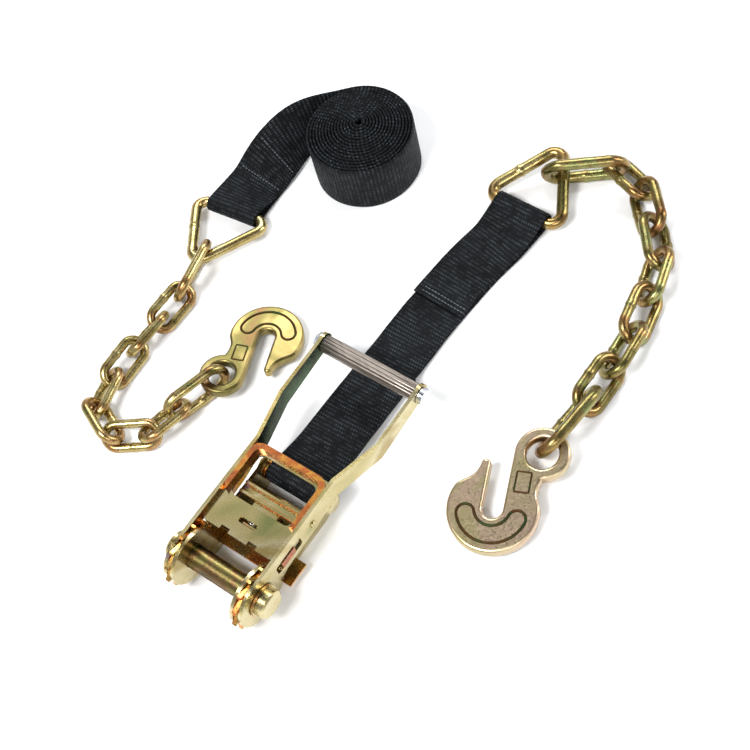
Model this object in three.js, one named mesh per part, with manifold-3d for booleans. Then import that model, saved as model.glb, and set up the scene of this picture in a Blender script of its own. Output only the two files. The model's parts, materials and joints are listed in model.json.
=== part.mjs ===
// Two-inch ratchet tie-down strap with chain anchors, laid out on a flat surface.
//
// Two loose assemblies lie side by side:
//   short end: ratchet, fixed strap, delta ring, nine chain links, grab hook
//   long end:  rolled strap, its free lead, delta ring, nine chain links, grab hook
//
// Millimetres, +Z up, the surface is Z = 0. The group is moved at the end so that
// the origin is the middle of the footprint, on the surface.

import * as THREE from 'three';
import { mergeVertices } from 'three/addons/utils/BufferGeometryUtils.js';
import Module from 'manifold-3d';

const wasm = await Module();
wasm.setup();

// ---------------------------------------------------------------- driving dimensions

const GAP = 0.3; // clearance between neighbouring solids
const WEB_WIDTH = 50; // two-inch webbing
const WEB_THICK = 2.3; // one layer of webbing

const ratchet = {
  position: [-155, -140], // spindle axis on the surface
  heading: 38.9, // from the spindle towards the grip, degrees
  spindleHeight: 28,
  wheelTip: 27.5, // ratchet wheel tooth circle
  wheelRoot: 21.5,
  wheelTeeth: 12,
  wheelWidth: 3.6,
  basePlate: 3,
  baseInner: 27.5, // half the space between the base plates
  baseEnd: 25, // radius of a base plate round the spindle
  handlePlate: 3,
  handleInner: 34.8, // half the space between the handle plates
  handleEnd: 24, // radius of a handle plate round the spindle
  spindleRadius: 9.5,
  spindleSlit: 3.2, // slit that the strap is threaded through
  spindleHalfLength: 44,
  anchorReach: 92, // spindle axis to anchor bolt axis
  anchorHeight: 17,
  anchorBoltRadius: 5,
  sleeveRadius: 7,
  gripReach: 197, // spindle axis to grip axis
  gripHeight: 40,
  gripRadius: 7.6,
  gripHalf: 48, // outer faces of the handle arms at the grip
  topPlate: 43.5, // underside of the plate that joins the handle sides
  topThick: 2.5,
  sideTop: 51, // upper edge of the handle plates beside the top plate
};

// Delta rings: wire, side of the triangle between its sharp corners, bend radius, where
// the middle of the strap side lies, its direction towards the chain corner, and its tilt.
const shortRing = { wire: 10.4, side: 79.6, bend: 9, at: [162, 103.4], heading: 37.5, height: 8.6, tilt: 12 };
const longRing = { wire: 9.4, side: 79.6, bend: 9, at: [-72.6, 200.6], heading: -135, height: 8.2, tilt: 7.3 };

// Chain links: wire, inside length and inside width. The two end links are longer and
// heavier than the seven between them.
const shortChain = { wire: 9, inside: 41, width: 15, endWire: 10.4, endInside: 55, endWidth: 17 };
const longChain = { wire: 8, inside: 36.5, width: 12, endWire: 8.6, endInside: 47, endWidth: 16 };

// How the links lie: where the middle is (x, y, z), the direction of the link on the
// surface, and its turn about its own length (0 is flat, 90 on edge). Neighbours stand
// roughly square to each other.
const shortLayout = [
  [223.5, 116, 19, -16, 104],
  [256.5, 98.5, 11.8, -71, 148],
  [259, 63.5, 13.8, -99, 48],
  [253, 29, 13, -103, 136],
  [239, -2, 13.6, -126, 46],
  [216.5, -31, 13.2, -131, 135],
  [192, -57, 13.2, -138, 45],
  [163.5, -79.5, 13.4, -142, 135],
  [130, -104, 17.6, -147, 63],
];
const longLayout = [
  [-120.8, 147, 15.6, -129, 64],
  [-146.7, 120.5, 11.2, -142, 140],
  [-171.8, 101.3, 12, -143, 51],
  [-196.3, 81.4, 11, -139, 139],
  [-217.8, 58.4, 10.6, -127, 39],
  [-222.9, 30.6, 15.4, -74, 130],
  [-203.4, 11.1, 11, -16, 222],
  [-173.9, 13.4, 13.8, 25, 148],
  [-142.9, 26.8, 16.8, 22, 82],
];

const hook = {
  eyeOuter: 22,
  eyeHole: 13,
  reach: 58, // eye centre to bowl centre
  bowl: 36.5,
  slot: 8.2, // half the throat
  tipLength: 36,
  tipRadius: 3.8,
  thick: 10.4,
  bevel: 1.6,
};

// The roll stands on edge; the lead leaves it at an angle round the roll, and is doubled
// for the overlap next to the ring.
const roll = { centre: [53, 209], radius: 49.5, core: 4, leaving: 88, overlap: 62 };

// ---------------------------------------------------------------- colours

const finish = (color, roughness, metalness) => ({ color, roughness, metalness });
const zinc = finish(0xb59a4e, 0.32, 1);
const darkZinc = finish(0x8d7437, 0.38, 1);
const steel = finish(0xc4c6c8, 0.3, 1);
const satin = finish(0x948a82, 0.45, 1);
const spring = finish(0x9b9b98, 0.35, 1);
const webbing = finish(0x14161b, 0.85, 0);

// ---------------------------------------------------------------- solids and meshes

const radians = THREE.MathUtils.degToRad;
const group = new THREE.Group();

function mesh(name, geometry, look, parent = group) {
  const part = new THREE.Mesh(geometry, new THREE.MeshStandardMaterial(look));
  part.name = name;
  parent.add(part);
  return part;
}

// A geometry with only shared positions and an index, as booleans need.
function welded(geometry) {
  const bare = geometry.clone();
  bare.deleteAttribute('normal');
  bare.deleteAttribute('uv');
  return mergeVertices(bare, 1e-4);
}

function toSolid(geometry) {
  const bare = welded(geometry);
  return new wasm.Manifold(new wasm.Mesh({
    numProp: 3,
    vertProperties: new Float32Array(bare.attributes.position.array),
    triVerts: new Uint32Array(bare.index.array),
  }));
}

function toGeometry(solid) {
  const { vertProperties, triVerts } = solid.getMesh();
  const geometry = new THREE.BufferGeometry();
  geometry.setAttribute('position', new THREE.BufferAttribute(new Float32Array(vertProperties), 3));
  geometry.setIndex(new THREE.BufferAttribute(new Uint32Array(triVerts), 1));
  geometry.computeVertexNormals();
  return geometry;
}

function joined(...geometries) {
  return toGeometry(geometries.map(toSolid).reduce((whole, next) => whole.add(next)));
}

function cut(geometry, ...tools) {
  return toGeometry(tools.map(toSolid).reduce((whole, tool) => whole.subtract(tool), toSolid(geometry)));
}

function common(a, b) {
  return toGeometry(toSolid(a).intersect(toSolid(b)));
}

function box(x0, x1, y0, y1, z0, z1) {
  return new THREE.BoxGeometry(x1 - x0, y1 - y0, z1 - z0)
    .translate((x0 + x1) / 2, (y0 + y1) / 2, (z0 + z1) / 2);
}

// A cylinder along Y, between two Y values.
function barY(radius, y0, y1, x, z, sides = 32) {
  return new THREE.CylinderGeometry(radius, radius, y1 - y0, sides)
    .translate(x, (y0 + y1) / 2, z);
}

// A ring or cup turned about the Y axis from a closed profile of [radius, y] points.
function turnedY(profile, x, z, sides = 32) {
  const points = profile.map(([r, y]) => new THREE.Vector2(r, y));
  return new THREE.LatheGeometry([...points, points[0]], sides).translate(x, 0, z);
}

// A turned profile drawn for the +Y side (sign 1), or its mirror image (sign -1).
function onSide(profile, sign) {
  const placed = profile.map(([radius, y]) => [radius, sign * y]);
  return sign > 0 ? placed : placed.reverse();
}

// A flat outline in (x, z), extruded along Y from y0 to y1.
function sidePlate(shape, y0, y1, curveSegments = 8) {
  return new THREE.ExtrudeGeometry(shape, { depth: y1 - y0, bevelEnabled: false, curveSegments })
    .rotateX(Math.PI / 2)
    .translate(0, y1, 0);
}

// A flat outline in (x, y), extruded along Z from z0 to z1.
function flatPlate(shape, z0, z1, curveSegments = 8) {
  return new THREE.ExtrudeGeometry(shape, { depth: z1 - z0, bevelEnabled: false, curveSegments })
    .translate(0, 0, z0);
}

function polygon(points) {
  return new THREE.Shape(points.map(([x, y]) => new THREE.Vector2(x, y)));
}

function roundedRectangle(x0, x1, y0, y1, r) {
  const shape = new THREE.Shape();
  shape.moveTo(x0 + r, y0);
  shape.lineTo(x1 - r, y0);
  shape.absarc(x1 - r, y0 + r, r, -Math.PI / 2, 0);
  shape.lineTo(x1, y1 - r);
  shape.absarc(x1 - r, y1 - r, r, 0, Math.PI / 2);
  shape.lineTo(x0 + r, y1);
  shape.absarc(x0 + r, y1 - r, r, Math.PI / 2, Math.PI);
  shape.lineTo(x0, y0 + r);
  shape.absarc(x0 + r, y0 + r, r, Math.PI, 1.5 * Math.PI);
  return shape;
}

// A round wire that follows a closed flat path. Each path point is [x, y, nx, ny],
// with the unit normal that points out of the loop.
function wireLoop(path, radius, sides) {
  const positions = [];
  const index = [];
  for (const [x, y, nx, ny] of path) {
    for (let side = 0; side < sides; side += 1) {
      const angle = (2 * Math.PI * side) / sides;
      const out = radius * Math.cos(angle);
      positions.push(x + nx * out, y + ny * out, radius * Math.sin(angle));
    }
  }
  const count = path.length;
  for (let i = 0; i < count; i += 1) {
    const next = (i + 1) % count;
    for (let side = 0; side < sides; side += 1) {
      const turn = (side + 1) % sides;
      const a = i * sides + side;
      const b = next * sides + side;
      const c = next * sides + turn;
      const d = i * sides + turn;
      index.push(a, b, d, b, c, d);
    }
  }
  const geometry = new THREE.BufferGeometry();
  geometry.setAttribute('position', new THREE.Float32BufferAttribute(positions, 3));
  geometry.setIndex(index);
  geometry.computeVertexNormals();
  return geometry;
}

// The corners of a closed path as arcs: each corner is [centre x, y, first angle, last angle].
function arcPath(corners, radius, steps) {
  const path = [];
  for (const [cx, cy, first, last] of corners) {
    for (let step = 0; step <= steps; step += 1) {
      const angle = first + ((last - first) * step) / steps;
      const nx = Math.cos(angle);
      const ny = Math.sin(angle);
      path.push([cx + radius * nx, cy + radius * ny, nx, ny]);
    }
  }
  return path;
}

// ---------------------------------------------------------------- ratchet

const r = ratchet;
const frame = new THREE.Group();
frame.position.set(...r.position, 0);
frame.rotation.z = radians(r.heading);
group.add(frame);

const inFrame = (name, geometry, look) => mesh(name, geometry, look, frame);
const spindleHole = r.spindleRadius + GAP;
const wheelInner = r.baseInner + r.basePlate + GAP;

function basePlateOutline() {
  const shape = new THREE.Shape();
  const earRadius = 13;
  const shoulder = radians(8);
  shape.moveTo(0, r.spindleHeight - r.baseEnd);
  shape.lineTo(26, GAP);
  shape.lineTo(82, GAP);
  shape.absarc(r.anchorReach, r.anchorHeight, earRadius, radians(-62), radians(96));
  shape.lineTo(60, 30.6);
  shape.absarc(0, r.spindleHeight, r.baseEnd, shoulder, 1.5 * Math.PI);
  return shape;
}

function baseFrame() {
  const halfWidth = r.baseInner + r.basePlate;
  const plates = [-halfWidth, r.baseInner].map((y) => sidePlate(basePlateOutline(), y, y + r.basePlate));
  const web = box(52, 80, -halfWidth + 1, halfWidth - 1, GAP, GAP + 2.6);
  const springSeat = box(62, 64.6, -9, 9, 1, 15);
  const plateHoles = [
    barY(spindleHole, -40, 40, 0, r.spindleHeight),
    barY(r.anchorBoltRadius + GAP, -40, 40, r.anchorReach, r.anchorHeight, 24),
    sidePlate(roundedRectangle(22, 51, 8.2, 12.2, 1.2), -40, 40, 4),
  ];
  return cut(joined(...plates, web, springSeat), ...plateHoles);
}

inFrame('base_frame', baseFrame(), zinc);

// Locking pawl: a flat plate through both base plates, with an ear outside each.
const lockFloor = 8.6;
const lockTop = 11.6;
inFrame('locking_pawl', flatPlate(polygon([
  [22.8, -43], [43.5, -43], [43.5, -8], [49.6, -8], [49.6, 8], [43.5, 8], [43.5, 43],
  [22.8, 43],
]), lockFloor, lockTop), darkZinc);

// Compression spring between two X values, in the ratchet's own axes.
function coilSpring(x0, x1, y, z, coilRadius, wireRadius, turns) {
  const points = [];
  const stepsPerTurn = 8;
  const run = x1 - x0 - 2 * wireRadius;
  for (let i = 0; i <= turns * stepsPerTurn; i += 1) {
    const angle = (2 * Math.PI * i) / stepsPerTurn;
    const along = x0 + wireRadius + (run * i) / (turns * stepsPerTurn);
    points.push(new THREE.Vector3(along, y + coilRadius * Math.cos(angle), z + coilRadius * Math.sin(angle)));
  }
  const wire = new THREE.Shape().absarc(0, 0, wireRadius, 0, 2 * Math.PI);
  return new THREE.ExtrudeGeometry(wire, {
    steps: turns * stepsPerTurn,
    extrudePath: new THREE.CatmullRomCurve3(points),
    curveSegments: 3,
  });
}

inFrame('locking_pawl_spring', coilSpring(50.4, 61.6, 0, 10.1, 3.2, 0.6, 4), spring);

// Anchor bolt, its nut, the sleeve that the strap turns on, and a washer at each end.
const boltTail = r.baseInner + r.basePlate;
inFrame('anchor_bolt', joined(
  barY(r.anchorBoltRadius, -boltTail - 1, boltTail + 5.5, r.anchorReach, r.anchorHeight, 24),
  turnedY([
    [0.01, -boltTail - GAP], [9, -boltTail - GAP], [9, -boltTail - 3],
    [6.8, -boltTail - 5.2], [0.01, -boltTail - 5.8],
  ].reverse(), r.anchorReach, r.anchorHeight, 24),
), zinc);
inFrame('anchor_nut', cut(
  barY(8.4, boltTail + GAP, boltTail + 4.4, r.anchorReach, r.anchorHeight, 6),
  barY(r.anchorBoltRadius + GAP, 0, 40, r.anchorReach, r.anchorHeight, 24),
), zinc);
inFrame('anchor_sleeve', turnedY([
  [r.anchorBoltRadius + GAP, -25], [r.sleeveRadius, -25], [r.sleeveRadius, 25],
  [r.anchorBoltRadius + GAP, 25],
], r.anchorReach, r.anchorHeight, 24), zinc);
for (const [side, y] of [['left', 25.5], ['right', -27.2]]) {
  inFrame(`anchor_washer_${side}`, turnedY([
    [r.anchorBoltRadius + GAP, y], [9.6, y], [9.6, y + 1.7], [r.anchorBoltRadius + GAP, y + 1.7],
  ], r.anchorReach, r.anchorHeight, 24), zinc);
}

// Spindle: two half-moon bars with the strap slit between them.
function halfMoon(side) {
  const from = Math.asin(r.spindleSlit / 2 / r.spindleRadius);
  const shape = new THREE.Shape();
  if (side > 0) {
    shape.absarc(0, r.spindleHeight, r.spindleRadius, from, Math.PI - from);
  } else {
    shape.absarc(0, r.spindleHeight, r.spindleRadius, Math.PI + from, 2 * Math.PI - from);
  }
  return sidePlate(shape, -r.spindleHalfLength, r.spindleHalfLength, 10);
}

inFrame('spindle_half_upper', halfMoon(1), zinc);
inFrame('spindle_half_lower', halfMoon(-1), zinc);

// Ratchet wheel: raked teeth on a disc.
function wheelOutline() {
  const shape = new THREE.Shape();
  const pitch = (2 * Math.PI) / r.wheelTeeth;
  for (let tooth = 0; tooth < r.wheelTeeth; tooth += 1) {
    const start = tooth * pitch;
    for (const [part, radius] of [[0, r.wheelRoot], [0.62, r.wheelRoot + 3], [0.86, r.wheelTip],
      [1, r.wheelTip - 0.6]]) {
      const angle = start + part * pitch;
      const x = radius * Math.cos(angle);
      const z = r.spindleHeight + radius * Math.sin(angle);
      if (tooth === 0 && part === 0) {
        shape.moveTo(x, z);
      } else {
        shape.lineTo(x, z);
      }
    }
  }
  const bore = new THREE.Path();
  bore.absarc(0, r.spindleHeight, spindleHole, 0, 2 * Math.PI, true);
  shape.holes.push(bore);
  return shape;
}

for (const [side, y] of [['left', wheelInner], ['right', -wheelInner - r.wheelWidth]]) {
  inFrame(`ratchet_wheel_${side}`, sidePlate(wheelOutline(), y, y + r.wheelWidth, 12), zinc);
}

// A washer and a turned cap hold the spindle at each end.
const capFrom = r.handleInner + r.handlePlate + GAP;
const capInner = capFrom + 2 + GAP;
const capFloor = r.spindleHalfLength + GAP;
const capOuter = capFloor + 3.4;
const washerProfile = [
  [spindleHole, capFrom], [14, capFrom], [14, capFrom + 2], [spindleHole, capFrom + 2],
];
const capProfile = [
  [0.01, capFloor], [spindleHole, capFloor], [spindleHole, capInner], [12, capInner],
  [12, capOuter - 1.4], [10.6, capOuter], [0.01, capOuter],
];
for (const [side, sign] of [['left', 1], ['right', -1]]) {
  inFrame(`spindle_washer_${side}`, turnedY(onSide(washerProfile, sign), 0, r.spindleHeight), zinc);
  inFrame(`spindle_cap_${side}`, turnedY(onSide(capProfile, sign), 0, r.spindleHeight), zinc);
}

// Handle: two side plates bent outwards into the arms, joined by a windowed top plate.
const armFlare = 142; // where the arms stop flaring
const armEnd = r.gripReach + 9;

function handleSidePlan(sign) {
  const inner = r.handleInner;
  const outer = inner + r.handlePlate;
  const armInner = r.gripHalf - r.handlePlate;
  return polygon([
    [-r.handleEnd, inner], [100, inner], [armFlare, armInner], [armEnd, armInner],
    [armEnd, r.gripHalf], [armFlare - 0.8, r.gripHalf], [99, outer], [-r.handleEnd, outer],
  ].map(([x, y]) => [x, sign * y]));
}

function handleProfile() {
  const shape = new THREE.Shape();
  const top = r.sideTop;
  shape.moveTo(0, r.spindleHeight - r.handleEnd);
  shape.absarc(0, r.spindleHeight, r.handleEnd, -Math.PI / 2, radians(-42));
  shape.lineTo(30, 23.5);
  shape.lineTo(70, 25.5);
  shape.lineTo(84, 29);
  shape.lineTo(105, 29);
  shape.lineTo(armFlare, 27);
  shape.lineTo(188, 31.6);
  shape.absarc(r.gripReach, r.gripHeight, 9, radians(-110), radians(110));
  shape.lineTo(armFlare, 47);
  shape.lineTo(98, top);
  shape.lineTo(26, top);
  shape.absarc(0, r.spindleHeight, r.handleEnd, radians(72), 1.5 * Math.PI);
  return shape;
}

function handleFrame() {
  const sides = [-1, 1].map((sign) => flatPlate(handleSidePlan(sign), 0, 60));
  const span = sidePlate(handleProfile(), -60, 60, 6);
  const half = r.handleInner + 1;
  const outer = r.handleInner + r.handlePlate;
  const topPlate = flatPlate(roundedRectangle(24.5, 98, -half, half, 5), r.topPlate, r.topPlate + r.topThick, 4);
  const window = roundedRectangle(52, 90, -29, 29, 6);
  const rim = cut(
    flatPlate(roundedRectangle(50, 97.5, -35.4, 35.4, 10), r.topPlate, r.sideTop, 4),
    flatPlate(roundedRectangle(30, 93, -30.6, 30.6, 7), 30, 60, 4),
  );
  const rivetHead = [[0.01, outer - 0.5], [3.6, outer - 0.5], [2.8, outer + 1.2], [0.01, outer + 1.6]];
  const rivets = [-1, 1].map((sign) => turnedY(onSide(rivetHead, sign), 67, 35, 16));
  const springStop = box(49.2, 51, -7, 7, 35.6, r.topPlate + 1);
  const notches = [-1, 1].map((sign) => box(20, 28, sign > 0 ? 9 : -17, sign > 0 ? 17 : -9, 40, 50));
  const cuts = [
    flatPlate(window, 40, 60, 4),
    flatPlate(roundedRectangle(36.4, 41, -8.4, 8.4, 1.8), 43, 50, 3),
    ...notches,
    barY(spindleHole, -60, 60, 0, r.spindleHeight),
    barY(4.5, -60, 60, r.gripReach, r.gripHeight, 20),
    sidePlate(roundedRectangle(22, 52, 29.9, 40.1, 2.4), -60, 60, 4),
  ];
  return cut(joined(common(sides[0], span), common(sides[1], span), topPlate, rim, springStop, ...rivets), ...cuts);
}

inFrame('handle_frame', handleFrame(), zinc);

// Drive pawl: a plate whose ears slide in the handle's slots, with a folded finger bar.
const driveFloor = 32;
const driveTop = 35;
inFrame('drive_pawl', joined(
  flatPlate(polygon([
    [28, -38.6], [44, -38.6], [44, -12], [60, -12], [60, 12], [44, 12], [44, 38.6], [28, 38.6],
  ]), driveFloor, driveTop),
  ...[-38.6, 35.2].map((y) => box(28, 44, y, y + 3.4, 30.6, 39.4)),
  box(37.5, 39.5, -8, 8, driveTop - 1, 41.5),
  box(58.5, 69, -27, 27, driveFloor, driveTop),
  box(58.5, 61, -27, 27, driveFloor, driveTop + 4),
  box(66.5, 69, -27, 27, driveFloor, driveTop + 4),
), zinc);
inFrame('drive_pawl_spring', coilSpring(39.8, 48.9, 0, 39.2, 2.9, 0.5, 4), spring);

// Grip: a fluted tube on a long bolt with a nut.
function flutedOutline() {
  const shape = new THREE.Shape();
  const flutes = 14;
  for (let i = 0; i < 2 * flutes; i += 1) {
    const angle = (Math.PI * i) / flutes;
    const radius = r.gripRadius - (i % 2 ? 0.7 : 0);
    const x = r.gripReach + radius * Math.cos(angle);
    const z = r.gripHeight + radius * Math.sin(angle);
    if (i === 0) {
      shape.moveTo(x, z);
    } else {
      shape.lineTo(x, z);
    }
  }
  const bore = new THREE.Path();
  bore.absarc(r.gripReach, r.gripHeight, 4.6, 0, 2 * Math.PI, true);
  shape.holes.push(bore);
  return shape;
}

const tubeHalf = r.gripHalf - r.handlePlate - GAP;
const gripOuter = r.gripHalf + GAP;
inFrame('handle_grip_tube', sidePlate(flutedOutline(), -tubeHalf, tubeHalf, 10), satin);
inFrame('handle_grip_bolt', joined(
  barY(4.2, -gripOuter - 1, gripOuter + 4.8, r.gripReach, r.gripHeight, 20),
  barY(7.2, -gripOuter - 4.4, -gripOuter, r.gripReach, r.gripHeight, 24),
), steel);
inFrame('handle_grip_nut', cut(
  barY(7.4, gripOuter, gripOuter + 4, r.gripReach, r.gripHeight, 6),
  barY(4.2 + GAP, 0, 60, r.gripReach, r.gripHeight, 20),
), steel);

// ---------------------------------------------------------------- webbing

// Bends a strap that was made straight along X onto a flat path with its own height.
// place(s) gives { x, y, angle } for the distance s along the strap.
function bendStrap(geometry, place) {
  const position = geometry.attributes.position;
  for (let i = 0; i < position.count; i += 1) {
    const { x, y, angle } = place(position.getX(i));
    const across = position.getY(i);
    position.setXYZ(i, x - across * Math.sin(angle), y + across * Math.cos(angle), position.getZ(i));
  }
  geometry.computeVertexNormals();
  return geometry;
}

// Side view of a strap with a sewn loop at one or both ends. The middle line is a list
// of [s, z] points; thickness(s) is the strap's depth there.
function strapProfile(points, thickness, loops) {
  const curve = new THREE.SplineCurve(points.map(([s, z]) => new THREE.Vector2(s, z)));
  const steps = 26;
  const upper = [];
  const lower = [];
  for (let i = 0; i <= steps; i += 1) {
    const at = curve.getPoint(i / steps);
    const along = curve.getTangent(i / steps);
    const half = thickness(at.x) / 2;
    upper.push([at.x - along.y * half, at.y + along.x * half]);
    lower.push([at.x + along.y * half, at.y - along.x * half]);
  }
  const band = sidePlate(polygon([...lower, ...upper.reverse()]), -WEB_WIDTH / 2, WEB_WIDTH / 2);
  const discs = loops.map(({ s, z, radius }) => barY(radius + WEB_THICK, -WEB_WIDTH / 2, WEB_WIDTH / 2, s, z, 20));
  const holes = loops.map(({ s, z, radius }) => barY(radius, -WEB_WIDTH, WEB_WIDTH, s, z, 20));
  return cut(joined(band, ...discs), ...holes);
}

const heading = (degrees) => new THREE.Vector2(Math.cos(radians(degrees)), Math.sin(radians(degrees)));
const anchorPoint = new THREE.Vector2(...r.position)
  .add(heading(r.heading).multiplyScalar(r.anchorReach));
const shortRingHole = shortRing.wire / 2 + 0.4;

// The fixed strap leaves the anchor sleeve, passes under the grip and ends at the ring.
const ringPoint = new THREE.Vector2(...shortRing.at);
const chord = ringPoint.clone().sub(anchorPoint);
const sideways = new THREE.Vector2(-chord.y, chord.x).normalize();
const besideChord = (share, offset) => anchorPoint.clone()
  .addScaledVector(chord, share)
  .addScaledVector(sideways, offset);
const leaving = anchorPoint.clone().addScaledVector(heading(r.heading), 12);
const arriving = ringPoint.clone().addScaledVector(heading(shortRing.heading), -12);
const fixedPath = new THREE.CurvePath();
fixedPath.add(new THREE.LineCurve(anchorPoint, leaving));
fixedPath.add(new THREE.SplineCurve([
  leaving,
  leaving.clone().addScaledVector(heading(r.heading), 16),
  besideChord(0.3, 5),
  besideChord(0.55, 8.5),
  besideChord(0.78, 6),
  arriving.clone().addScaledVector(heading(shortRing.heading), -14),
  arriving,
]));
fixedPath.add(new THREE.LineCurve(arriving, ringPoint));
const fixedLength = fixedPath.getLength();

function fixedPlace(s) {
  const t = THREE.MathUtils.clamp(s / fixedLength, 0, 1);
  const at = fixedPath.getPointAt(t);
  const along = fixedPath.getTangentAt(t);
  const past = s - t * fixedLength;
  const angle = Math.atan2(along.y, along.x);
  return { x: at.x + past * along.x, y: at.y + past * along.y, angle };
}

const overlapEnds = [128, fixedLength - 112];
const fixedThickness = (s) => (s < overlapEnds[0] || s > overlapEnds[1] ? 2 * WEB_THICK : WEB_THICK + 0.2);
mesh('fixed_strap', bendStrap(strapProfile(
  [[9, 17.5], [24, 16.5], [60, 12], [105, 7], [150, 3.2], [200, 2.9], [255, 2.9], [285, 5],
    [fixedLength - 6.6, 8.8]],
  fixedThickness,
  [
    { s: 0, z: r.anchorHeight, radius: r.sleeveRadius + 0.4 },
    { s: fixedLength, z: shortRing.height, radius: shortRingHole },
  ],
), fixedPlace), webbing);

// ---------------------------------------------------------------- delta rings

// The strap side lies on the Y axis and the chain corner points along +X.
function ringGeometry({ wire, side, bend }) {
  const corner = radians(30);
  const apex = side * Math.cos(corner) - bend / Math.sin(corner);
  const baseY = side / 2 - bend / Math.tan(corner);
  return wireLoop(arcPath([
    [bend, -baseY, -Math.PI, radians(-60)],
    [apex, 0, radians(-60), radians(60)],
    [bend, baseY, radians(60), Math.PI],
  ], bend, 6), wire / 2, 10);
}

function deltaRing(name, spec) {
  const turned = new THREE.Group();
  turned.position.set(...spec.at, spec.height);
  turned.rotation.set(0, radians(-spec.tilt), radians(spec.heading), 'ZYX');
  group.add(turned);
  mesh(name, ringGeometry(spec), zinc, turned);
}

deltaRing('delta_ring_short', shortRing);
deltaRing('delta_ring_long', longRing);

// ---------------------------------------------------------------- chains

function linkGeometry(wire, inside, width) {
  const bow = (width + wire) / 2;
  const offset = (inside - width) / 2;
  return wireLoop(arcPath([
    [offset, 0, -Math.PI / 2, Math.PI / 2],
    [-offset, 0, Math.PI / 2, 1.5 * Math.PI],
  ], bow, 6), wire / 2, 8);
}

function layChain(prefix, chain, layout) {
  layout.forEach(([x, y, z, direction, turn], i) => {
    const isEnd = i === 0 || i === layout.length - 1;
    const holder = new THREE.Group();
    holder.position.set(x, y, z);
    holder.rotation.set(radians(turn), 0, radians(direction), 'ZYX');
    group.add(holder);
    const shape = isEnd
      ? linkGeometry(chain.endWire, chain.endInside, chain.endWidth)
      : linkGeometry(chain.wire, chain.inside, chain.width);
    mesh(`${prefix}_${i + 1}`, shape, zinc, holder);
  });
}

layChain('short_link', shortChain, shortLayout);
layChain('long_link', longChain, longLayout);

// ---------------------------------------------------------------- grab hooks

// Eye at the origin, bowl centre on +X, throat open towards -Y.
function hookOutline() {
  const { eyeOuter, eyeHole, reach, bowl, slot, tipLength, tipRadius } = hook;
  const throat = Math.asin((eyeOuter + slot) / reach);
  const along = new THREE.Vector2(Math.cos(throat), Math.sin(throat));
  const across = new THREE.Vector2(-along.y, along.x);
  const at = (a, b) => [reach + a * along.x + b * across.x, a * along.y + b * across.y];
  const quarter = Math.PI / 2;
  const shape = new THREE.Shape();
  shape.moveTo(eyeOuter * Math.cos(throat - quarter), eyeOuter * Math.sin(throat - quarter));
  shape.lineTo(...at(0, slot));
  shape.absarc(reach, 0, slot, throat + quarter, throat - quarter, true);
  shape.lineTo(...at(-tipLength, -slot));
  const tip = at(-tipLength, -slot - tipRadius);
  shape.absarc(...tip, tipRadius, throat + quarter, throat + 3 * quarter);
  shape.bezierCurveTo(...at(-22, -18), ...at(-22, -29), ...at(-bowl * 0.42, -bowl * 0.91));
  shape.absarc(reach, 0, bowl, throat + radians(-115), radians(130));
  shape.bezierCurveTo(31, 24, 31, 17.5, eyeOuter * 0.98, eyeOuter * 0.6);
  shape.absarc(0, 0, eyeOuter, radians(40), throat - quarter + 2 * Math.PI);
  const eye = new THREE.Path();
  eye.absarc(0, 0, eyeHole, 0, 2 * Math.PI, true);
  shape.holes.push(eye);
  return shape;
}

function hookGeometry(scale) {
  const { thick, bevel } = hook;
  return new THREE.ExtrudeGeometry(hookOutline(), {
    depth: thick - 2 * bevel,
    bevelThickness: bevel,
    bevelSize: bevel,
    bevelOffset: -bevel,
    bevelSegments: 1,
    curveSegments: 10,
  }).translate(0, 0, bevel - thick / 2).scale(scale, scale, scale);
}

function grabHook(name, scale, [x, y, z], heading, tilt) {
  const holder = new THREE.Group();
  holder.position.set(x, y, z);
  holder.rotation.set(0, radians(tilt), radians(heading), 'ZYX');
  group.add(holder);
  mesh(name, hookGeometry(scale), zinc, holder);
}

grabHook('grab_hook_short', 0.98, [102.5, -123.8, 16.2], -151, 5.8);
grabHook('grab_hook_long', 0.86, [-119.3, 36.3, 14.6], 29, 6.2);

// ---------------------------------------------------------------- rolled strap

// A band swept through cross-sections: each has its middle, its half width and half
// thickness as vectors.
function sweptBand(sections) {
  const positions = [];
  const index = [];
  for (const { middle, wide, thick } of sections) {
    for (const [w, t] of [[1, 1], [-1, 1], [-1, -1], [1, -1]]) {
      const corner = middle.clone().addScaledVector(wide, w).addScaledVector(thick, t);
      positions.push(corner.x, corner.y, corner.z);
    }
  }
  const last = sections.length - 1;
  for (let i = 0; i < last; i += 1) {
    for (let side = 0; side < 4; side += 1) {
      const a = 4 * i + side;
      const b = 4 * i + ((side + 1) % 4);
      index.push(a, b, b + 4, a, b + 4, a + 4);
    }
  }
  index.push(0, 3, 2, 0, 2, 1);
  index.push(4 * last, 4 * last + 1, 4 * last + 2, 4 * last, 4 * last + 2, 4 * last + 3);
  const geometry = new THREE.BufferGeometry();
  geometry.setAttribute('position', new THREE.Float32BufferAttribute(positions, 3));
  geometry.setIndex(index);
  return geometry;
}

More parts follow.
